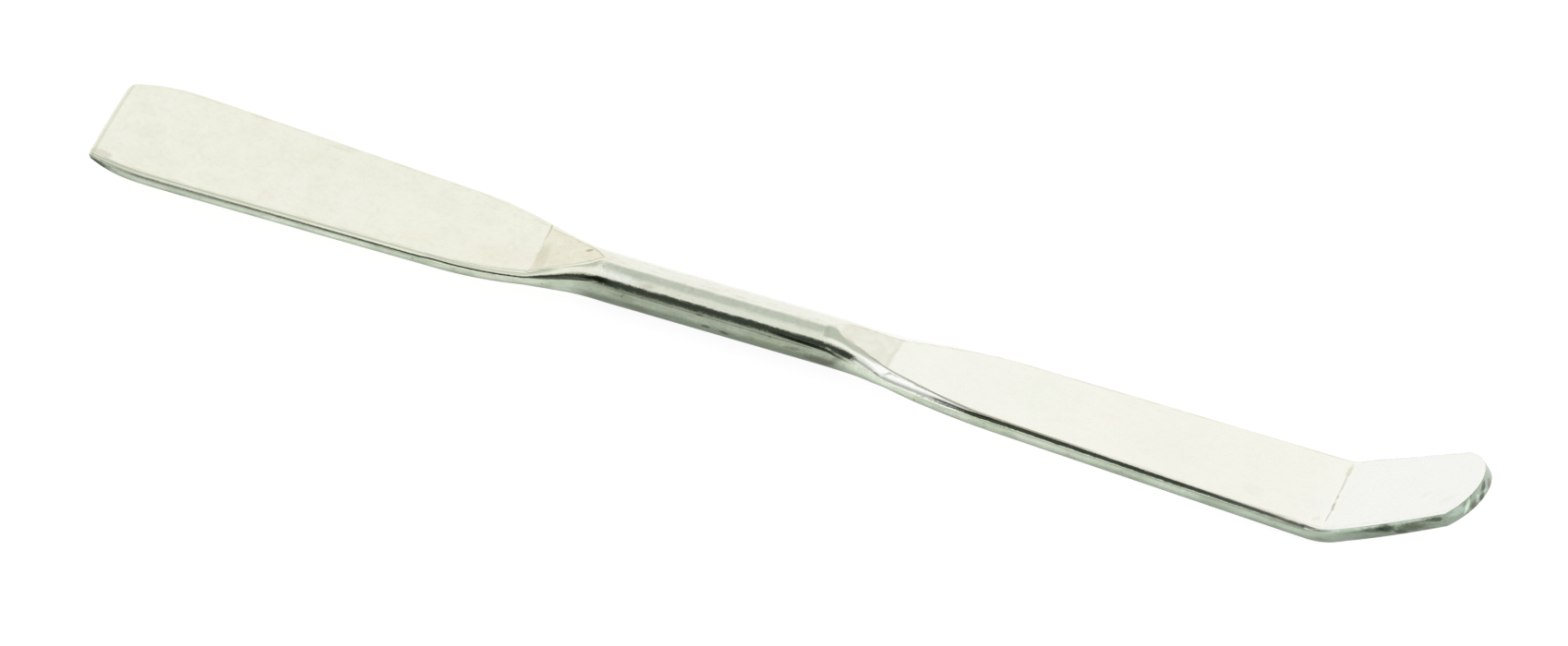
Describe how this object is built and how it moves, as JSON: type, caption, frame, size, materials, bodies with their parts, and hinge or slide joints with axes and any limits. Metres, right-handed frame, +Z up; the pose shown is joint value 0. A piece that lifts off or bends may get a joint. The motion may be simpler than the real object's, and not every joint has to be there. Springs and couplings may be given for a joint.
{
  "type": "lab spatula",
  "caption": "Double-ended lab micro spatula forged in one piece from a round rod: a flat square-ended blade, a short round handle and a flat blade with a round tip bent upwards",
  "frame": {"origin": "on the table under the middle of the whole, as the spatula lies at rest", "axes": "+X along the length from the square blade to the bent tip, +Y across the blades to the back, +Z up"},
  "size_m": [0.12, 0.0108, 0.0086],
  "materials": {
    "metal": "nickel-like white metal: satin forged flats with faint lengthwise lines, polished rod and rounded edges, dull ground edge at the round tip"
  },
  "bodies": {
    "root": {"spatula": "metal"}
  },
  "joints": []
}
